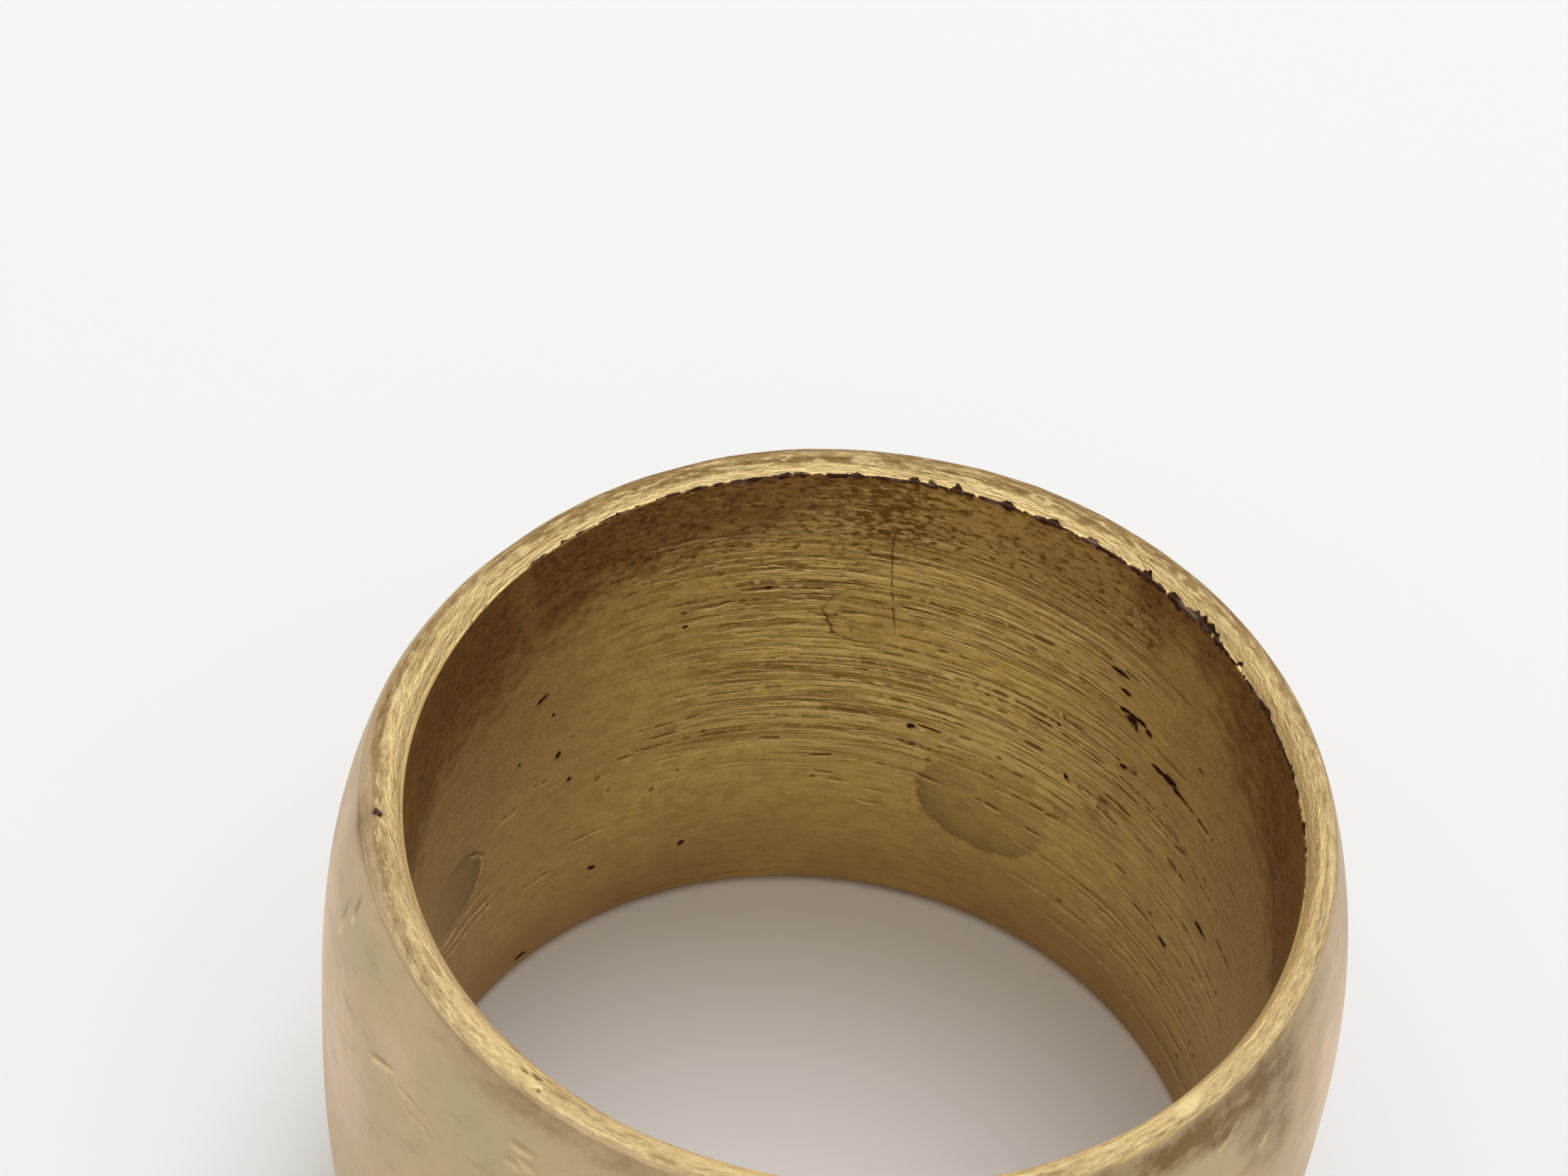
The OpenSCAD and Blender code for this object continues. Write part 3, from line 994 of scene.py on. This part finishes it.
def bore_look(s, level, leaning, mottle, speck):
    """Colour and relief of the bore: turning marks and grit with painted highlights and painted shade, a
    brown film, tarnish, pits, and stains from drops.
    """
    hatch = s.layer("hatch")
    tarnish = s.layer("tarnish")
    above = s.unrolled(GROOVE_LEAN, GROOVE_LIP)
    gate = s.step(s.noise(level, *GATE), 0.42, 0.56, 0.45, 1.0)
    share = s.times(hatch, gate)
    colour = s.mix(s.step(mottle, 0.42, 0.62, 0, 0.48), BORE_GOLD, FILM_BROWN)
    # Broad bands of lighter and darker metal, which run with the marks
    bands = s.noise(leaning, *BANDS, detail=3)
    colour = s.mix(s.times(hatch, s.step(bands, 0.5, 0.66, 0, 0.4)), colour, BORE_LIGHT)
    colour = s.mix(s.times(hatch, s.step(bands, 0.48, 0.34, 0, 0.4)), colour, BORE_DEEP)
    # An embossed grit of short marks, with painted shade where the surface falls away downwards and a
    # painted highlight where it rises
    here = s.noise(leaning, *GRIT, detail=4, roughness=0.6)
    slope = s.math("SUBTRACT", s.noise(above, *GRIT, detail=4, roughness=0.6), here)
    strong = s.times_plus(share, 0.75, 0.04)
    colour = s.mix(s.times(strong, s.step(slope, 0.01, 0.13)), colour, BORE_LIGHT)
    colour = s.mix(s.times(strong, s.step(slope, -0.01, -0.13)), colour, BORE_DEEP)
    relief = s.times_plus(here, GRIT_RISE, s.times(mottle, MOTTLE_RISE))
    # Longer marks are dashes of painted shade, each with a painted highlight on the lip below it
    for place, long, high, low, full, amount, depth in TURNING_MARKS:
        there = s.times(s.layer(place), gate)
        mark = s.step(s.noise(leaning, long, high, detail=2), low, full)
        under_mark = s.step(s.noise(above, long, high, detail=2), low, full)
        lip = s.times(under_mark, s.math("SUBTRACT", 1.0, mark))
        colour = s.mix(s.times(lip, there), colour, BORE_LIGHT)
        colour = s.mix(s.times(s.times(mark, there), amount), colour, BORE_DEEP)
        relief = s.times_plus(s.times(mark, there), -depth, relief)
    cloud = s.noise(level, *BORE_CLOUD)
    filmed = s.times(s.layer("film"), s.step(cloud, 0.3, 0.6, 0.7, 1.0))
    colour = s.mix(filmed, colour, FILM_BROWN)
    # Dark specks and blotches
    blotch = s.noise(leaning, *BLOTCH, detail=4, roughness=0.65)
    spotted = s.times_plus(s.layer("speckle"), 0.17, blotch)
    colour = s.mix(s.step(spotted, 0.65, 0.73, 0, 0.8), colour, BORE_DEEP)
    colour = s.mix(s.step(spotted, 0.73, 0.81, 0, 0.8), colour, GROOVE_BROWN)
    # The tarnish frays out along its lower edge
    ragged = s.times_plus(s.math("SUBTRACT", mottle, 0.5), 1.8, tarnish)
    ragged = s.times_plus(s.math("SUBTRACT", cloud, 0.5), 1.2, ragged)
    ragged = s.times_plus(s.math("SUBTRACT", speck, 0.5), 0.5, ragged)
    covered = s.times(s.step(ragged, 0.0, 1.1), s.step(tarnish, 0.0, 0.2))
    coat = s.mix(s.step(speck, 0.42, 0.62), TARNISH_RED, TARNISH_OLIVE)
    coat = s.mix(s.step(blotch, 0.5, 0.6, 0, 0.75), coat, TARNISH_DARK)
    relief = s.times_plus(s.times(blotch, covered), TARNISH_RISE, relief)
    colour = s.mix(s.times(covered, 0.9), colour, coat)
    colour = s.mix(s.times(s.layer("stain"), 0.75), colour, STAIN_GREY)
    # Painted highlights on the lips of scratches
    colour = s.mix(s.times(s.layer("painted_highlight"), 0.8), colour, BORE_LIGHT)
    # Darker in scratches, turning grooves and dents, mostly painted shade in their hollows, and in pits and
    # along the stains' rims
    groove = s.layer("groove")
    colour = s.mix(s.step(groove, 0.0, 0.7, 0, 0.95), colour, GROOVE_BROWN)
    colour = s.mix(s.step(groove, 0.65, 0.95), colour, PIT_BROWN)
    return colour, relief, covered


def rim_look(s, leaning, mottle):
    """Colour and relief of the rims: worn gold, wrinkled along its run, with painted highlights on its
    crests and brown dirt with painted shade in its lows.
    """
    across = s.layer("across")
    wrinkle = s.noise(leaning, *WRINKLE, detail=4, roughness=0.6)
    fine = s.noise(leaning, *FINE_WRINKLE, detail=5, roughness=0.65)
    # Each side's tones; the far side's outer half is a darker umber, partly dirt and partly painted shade
    near_side = s.mix(s.step(across, 0.2, 0.4), EDGE_TAN, EDGE_CREAM)
    far_side = s.mix(s.step(across, 0.38, 0.58), EDGE_GOLD, EDGE_UMBER)
    colour = s.mix(s.layer("far"), near_side, far_side)
    # The rim's painted shading: a broad painted highlight where it is above 0, and painted shade in brown
    # where it is below 0
    painted_rim_shading = s.layer("painted_rim_shading")
    colour = s.mix(s.times(painted_rim_shading, 0.95), colour, EDGE_BROAD_HIGHLIGHT)
    colour = s.mix(s.times(painted_rim_shading, -1.0), colour, EDGE_BROWN)
    deep = s.times_plus(wrinkle, 0.35, s.times(mottle, 0.15))
    deep = s.times_plus(fine, 0.5, deep)
    # At the far side the outer half gets more brown flecks and fewer light ones: partly dirt, partly
    # painted shade
    outer_far = s.times(s.layer("far"), s.step(across, 0.3, 0.7, -0.02, 0.035))
    deep = s.math("ADD", deep, outer_far)
    # Painted highlights on the wrinkles' crests
    colour = s.mix(s.step(deep, 0.5, 0.42, 0, 0.65), colour, EDGE_HIGHLIGHT)
    # The dirt, with painted shade in the wrinkles' lows, lies thicker on the far side, and thinner where
    # the rim has its painted highlight
    amount = s.times_plus(s.layer("far"), 0.15, 0.55)
    dirt_and_shade = s.times(s.step(deep, 0.505, 0.59), amount)
    dirt_and_shade = s.times(dirt_and_shade, s.times_plus(painted_rim_shading, -0.6, 1.0))
    colour = s.mix(dirt_and_shade, colour, EDGE_BROWN)
    colour = s.mix(s.step(across, 0.9, 1.0, 0, 0.5), colour, EDGE_BROWN)
    return colour, s.times(deep, WRINKLE_RISE)


def outside_look(s, level, mottle):
    """Colour and relief of the outside: dull, with soft greenish and brown patches and faint streaks."""
    cloud = s.noise(level, *OUTSIDE_CLOUD, detail=5, roughness=0.6)
    streak = s.noise(s.unrolled(OUTSIDE_LEAN), *STREAK, detail=5, roughness=0.6)
    colour = s.mix(s.step(cloud, 0.42, 0.62, 0, 0.4), OUTSIDE_GOLD, OUTSIDE_GREEN)
    paler = s.times(s.layer("pale"), s.step(cloud, 0.35, 0.6, 0.6, 1.0))
    colour = s.mix(paler, colour, OUTSIDE_PINK)
    colour = s.mix(s.times(s.layer("green"), 0.7), colour, OUTSIDE_GREEN)
    colour = s.mix(s.step(streak, 0.52, 0.74, 0, 0.2), colour, OUTSIDE_BROWN)
    broken = s.times_plus(mottle, 0.6, s.times(streak, 0.4))
    patchy = s.times(s.layer("brown"), s.step(broken, 0.38, 0.58, 0.45, 1.0))
    colour = s.mix(patchy, colour, OUTSIDE_BROWN)
    relief = s.times_plus(cloud, CLOUD_RISE, s.times(streak, STREAK_RISE))
    return colour, relief


def metal_material():
    s = Shader("worn_gold")
    black = s.layer("black")
    edge = s.layer("edge")
    outside = s.layer("outside")
    level = s.unrolled()
    leaning = s.unrolled(GROOVE_LEAN)
    mottle = s.noise(level, *MOTTLE, detail=6, roughness=0.62)
    speck = s.noise(level, *SPECK, detail=3)
    bore, bore_relief, covered = bore_look(s, level, leaning, mottle, speck)
    rim, rim_relief = rim_look(s, leaning, mottle)
    skin, skin_relief = outside_look(s, level, mottle)
    colour = s.mix(edge, bore, rim)
    colour = s.mix(outside, colour, skin)
    outer = s.math("MAXIMUM", outside, edge)
    # Painted highlights on the lips of dents and notches, and darkening in the dents, dirt and painted
    # shade
    colour = s.mix(s.times(outer, s.layer("painted_highlight")), colour, EDGE_HIGHLIGHT)
    colour = s.mix(s.times(outer, s.layer("groove")), colour, OUTSIDE_BROWN)
    eaten = s.times_plus(s.math("SUBTRACT", speck, 0.5), 0.9, black)
    oxide = s.mix(s.step(mottle, 0.5, 0.64, 0, 0.8), OXIDE_BLACK, OXIDE_GREY)
    colour = s.mix(s.times(s.step(eaten, 0.25, 0.8), s.step(black, 0, 0.2)), colour, oxide)
    s.put(s.surface.inputs["Base Color"], colour)
    s.put(s.surface.inputs["Metallic"], s.times_plus(black, OXIDE_DULL, 1.0))
    rough = s.times_plus(covered, TARNISH_ROUGH, BORE_ROUGH)
    rough = s.times_plus(edge, EDGE_ROUGH, rough)
    rough = s.times_plus(outside, OUTSIDE_ROUGH, rough)
    rough = s.times_plus(mottle, MOTTLE_ROUGH, rough)
    s.put(s.surface.inputs["Roughness"], rough)
    relief = s.times(bore_relief, s.math("SUBTRACT", 1.0, edge))
    relief = s.times_plus(rim_relief, edge, relief)
    relief = s.times_plus(skin_relief, outside, relief)
    relief = s.times_plus(speck, SPECK_RISE, relief)
    s.put(s.surface.inputs["Normal"], s.bump(relief))
    return s.material


# The floor's side in metres
FLOOR_SIDE = 3.0
FLOOR_WHITE = (0.89, 0.89, 0.89, 1)
FLOOR_ROUGH = 0.6


def make_floor():
    half = FLOOR_SIDE / 2
    corners = [(-half, -half, 0), (half, -half, 0), (half, half, 0), (-half, half, 0)]
    mesh = bpy.data.meshes.new("floor")
    mesh.from_pydata(corners, [], [(0, 1, 2, 3)])
    floor = add("floor", mesh)
    s = Shader("floor")
    s.surface.inputs["Base Color"].default_value = FLOOR_WHITE
    s.surface.inputs["Roughness"].default_value = FLOOR_ROUGH
    mesh.materials.append(s.material)


# The light: a soft sky that glows at the horizon like a white backdrop, a lamp behind the ring, high up and
# a little to the right, and a larger one above the camera's side, which reaches the floor inside the ring
SKY = 0.437
HORIZON = 1.0
# Sine of the height at which the glow has faded
HORIZON_TOP = 0.6
LAMPS = [
    # name, angle, height in degrees, distance and size in metres, watts
    ("lamp", 80, 69, 0.5, 0.3, 0.91),
    ("fill", -90, 78, 0.5, 0.9, 0.94),
]


def make_light():
    world = bpy.data.worlds.new("studio")
    world.use_nodes = True
    nodes = world.node_tree.nodes
    links = world.node_tree.links
    background = nodes["Background"]
    background.inputs["Color"].default_value = (1, 1, 1, 1)
    aim = nodes.new("ShaderNodeTexCoord")
    split = nodes.new("ShaderNodeSeparateXYZ")
    fade = nodes.new("ShaderNodeMapRange")
    fade.interpolation_type = "SMOOTHSTEP"
    for name, number in (("From Max", HORIZON_TOP), ("To Min", HORIZON), ("To Max", SKY)):
        fade.inputs[name].default_value = number
    links.new(aim.outputs["Generated"], split.inputs[0])
    links.new(split.outputs["Z"], fade.inputs["Value"])
    links.new(fade.outputs[0], background.inputs["Strength"])
    bpy.context.scene.world = world
    bpy.context.scene.view_settings.view_transform = "Standard"
    for name, at_angle, at_height, distance, size, watts in LAMPS:
        data = bpy.data.lights.new(name, "AREA")
        data.shape = "DISK"
        data.size = size
        data.energy = watts
        lamp = add(name, data)
        turn = math.radians(at_angle)
        lift = math.radians(at_height)
        towards = Vector((math.cos(lift) * math.cos(turn), math.cos(lift) * math.sin(turn), math.sin(lift)))
        lamp.location = towards * distance
        lamp.rotation_euler = towards.to_track_quat("Z", "Y").to_euler()


make_camera()
make_floor()
make_light()
band = make_band()
band.data.materials.append(metal_material())
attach(band, "root")
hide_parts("band")
